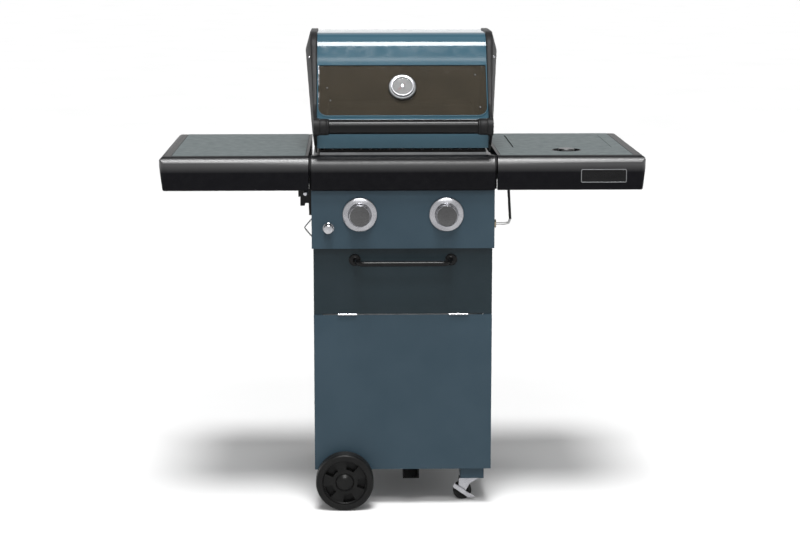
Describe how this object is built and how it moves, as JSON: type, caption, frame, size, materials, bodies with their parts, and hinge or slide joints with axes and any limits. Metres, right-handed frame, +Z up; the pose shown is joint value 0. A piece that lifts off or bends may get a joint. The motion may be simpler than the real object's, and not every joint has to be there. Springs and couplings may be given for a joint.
{
  "type": "gas barbecue grill",
  "caption": "Wheeled gas barbecue with a windowed hood, front control panel, cabinet with drop-down flap, folding left shelf and side burner in the right shelf.",
  "frame": {"origin": "on the floor, under the middle of the object's bounding box", "axes": "+X to the user's right along the shelves, +Y from the control panel to the back, +Z up"},
  "size_m": [1.22, 0.6, 1.2125],
  "materials": {
    "teal_paint": "satin powder coat",
    "plate_paint": "satin powder coat, slightly speckled",
    "black_coat": "fine textured black powder coat",
    "black_moulding": "moulded, fine leather-like texture",
    "black_cast": "die casting with a textured black coat",
    "black_enamel": "semi-gloss enamel",
    "cast_iron": "matt, seasoned",
    "stainless": "brushed",
    "chrome": "polished",
    "brass": "machined",
    "tinted_glass": "clear, tinted brown",
    "wheel_plastic": "moulded, matt",
    "caster_rubber": "matt",
    "red_pointer": "painted"
  },
  "bodies": {
    "cart": {"right_side_panel": "teal_paint", "left_side_panel": "teal_paint", "rear_brace": "teal_paint", "base_tray": "teal_paint", "centre_channel": "black_coat", "lower_front_panel": "teal_paint", "control_panel": "teal_paint", "front_rail": "black_moulding", "firebox_trim": "stainless", "firebox": "black_enamel", "left_burner": "stainless", "left_flame_tamer": "stainless", "right_burner": "stainless", "right_flame_tamer": "stainless", "left_grate": "cast_iron", "right_grate": "cast_iron", "warming_rack": "stainless", "gas_manifold": "brass", "side_gas_pipe": "stainless", "left_bezel": "chrome", "right_bezel": "chrome", "left_flap_hinge": "chrome", "right_flap_hinge": "chrome", "shelf_hinge_bracket": "black_coat", "shelf_pivot_rod": "chrome", "right_shelf_frame": "black_moulding", "right_shelf_top": "plate_paint", "side_burner_pan": "black_enamel", "side_burner": "brass", "side_trivet": "cast_iron", "side_knob_dish": "black_coat", "tool_hook": "stainless", "wheel_axle": "stainless"},
    "lid": {"lid_skin": "teal_paint", "lid_glass": "tinted_glass", "left_lid_cap": "black_cast", "right_lid_cap": "black_cast", "lid_handle": "black_coat", "gauge": "chrome"},
    "gauge_pointer": {"gauge_needle": "red_pointer"},
    "left_stem": {"left_valve_stem": "stainless"},
    "left_control": {"left_knob": "chrome"},
    "right_stem": {"right_valve_stem": "stainless"},
    "right_control": {"right_knob": "chrome"},
    "igniter": {"igniter_button": "chrome"},
    "flap": {"flap_panel": "teal_paint", "flap_handle": "black_coat"},
    "tray": {"grease_tray": "stainless"},
    "left_shelf": {"left_shelf_frame": "black_moulding", "left_shelf_top": "plate_paint"},
    "side_cover": {"side_burner_cover": "plate_paint"},
    "side_stem": {"side_valve_stem": "stainless"},
    "side_control": {"side_knob": "chrome"},
    "front_roller": {"front_wheel": "wheel_plastic"},
    "rear_roller": {"rear_wheel": "wheel_plastic"},
    "front_caster": {"front_caster_fork": "chrome"},
    "rear_caster": {"rear_caster_fork": "chrome"},
    "front_caster_roller": {"front_caster_wheel": "caster_rubber"},
    "rear_caster_roller": {"rear_caster_wheel": "caster_rubber"},
    "caster_brake": {"front_caster_brake": "stainless"}
  },
  "joints": [
    {"name": "lid_hinge", "type": "hinge", "parent": "cart", "child": "lid", "pos_m": [0, 0.225, 0.955], "axis": [-1, 0, 0], "range_deg": [0, 85]},
    {"name": "gauge_pointer_turn", "type": "hinge", "parent": "lid", "child": "gauge_pointer", "pos_m": [0, -0.16763, 1.075], "axis": [0, 0.8416, -0.5401], "range_deg": [0, 270]},
    {"name": "left_knob_push", "type": "slide", "parent": "cart", "child": "left_stem", "axis": [0, 1, 0], "range_m": [0, 0.004], "stiffness_N_per_m": 1500, "springref_m": -0.003},
    {"name": "left_knob_turn", "type": "hinge", "parent": "left_stem", "child": "left_control", "pos_m": [-0.109, -0.26, 0.764], "axis": [0, -1, 0], "range_deg": [0, 225]},
    {"name": "right_knob_push", "type": "slide", "parent": "cart", "child": "right_stem", "axis": [0, 1, 0], "range_m": [0, 0.004], "stiffness_N_per_m": 1500, "springref_m": -0.003},
    {"name": "right_knob_turn", "type": "hinge", "parent": "right_stem", "child": "right_control", "pos_m": [0.109, -0.26, 0.764], "axis": [0, -1, 0], "range_deg": [0, 225]},
    {"name": "igniter_push", "type": "slide", "parent": "cart", "child": "igniter", "axis": [0, 1, 0], "range_m": [0, 0.005], "stiffness_N_per_m": 1500, "springref_m": -0.003},
    {"name": "flap_hinge", "type": "hinge", "parent": "cart", "child": "flap", "pos_m": [0, -0.2326, 0.505], "axis": [1, 0, 0], "range_deg": [0, 155]},
    {"name": "tray_slide", "type": "slide", "parent": "cart", "child": "tray", "axis": [0, 1, 0], "range_m": [0, 0.28]},
    {"name": "left_shelf_fold", "type": "hinge", "parent": "cart", "child": "left_shelf", "pos_m": [-0.245, 0, 0.814], "axis": [0, -1, 0], "range_deg": [0, 90]},
    {"name": "side_cover_hinge", "type": "hinge", "parent": "cart", "child": "side_cover", "pos_m": [0.4185, 0.229, 0.912], "axis": [-1, 0, 0], "range_deg": [0, 100]},
    {"name": "side_knob_push", "type": "slide", "parent": "cart", "child": "side_stem", "axis": [0, 0, -1], "range_m": [0, 0.004], "stiffness_N_per_m": 1500, "springref_m": -0.003},
    {"name": "side_knob_turn", "type": "hinge", "parent": "side_stem", "child": "side_control", "pos_m": [0.423, -0.119, 0.912], "axis": [0, 0, 1], "range_deg": [0, 225]},
    {"name": "front_wheel_spin", "type": "hinge", "parent": "cart", "child": "front_roller", "pos_m": [-0.15, -0.2555, 0.074], "axis": [0, -1, 0], "continuous": true},
    {"name": "rear_wheel_spin", "type": "hinge", "parent": "cart", "child": "rear_roller", "pos_m": [-0.15, 0.272, 0.074], "axis": [0, -1, 0], "continuous": true},
    {"name": "front_caster_swivel", "type": "hinge", "parent": "cart", "child": "front_caster", "pos_m": [0.184, -0.171, 0.06], "axis": [0, 0, 1], "continuous": true},
    {"name": "front_caster_spin", "type": "hinge", "parent": "front_caster", "child": "front_caster_roller", "pos_m": [0.157, -0.171, 0.024], "axis": [0, -1, 0], "continuous": true},
    {"name": "rear_caster_swivel", "type": "hinge", "parent": "cart", "child": "rear_caster", "pos_m": [0.184, 0.181, 0.06], "axis": [0, 0, 1], "continuous": true},
    {"name": "rear_caster_spin", "type": "hinge", "parent": "rear_caster", "child": "rear_caster_roller", "pos_m": [0.157, 0.181, 0.024], "axis": [0, -1, 0], "continuous": true},
    {"name": "caster_brake_lever", "type": "hinge", "parent": "front_caster", "child": "caster_brake", "pos_m": [0.157, -0.171, 0.024], "axis": [0, -1, 0], "range_deg": [0, 30]}
  ]
}
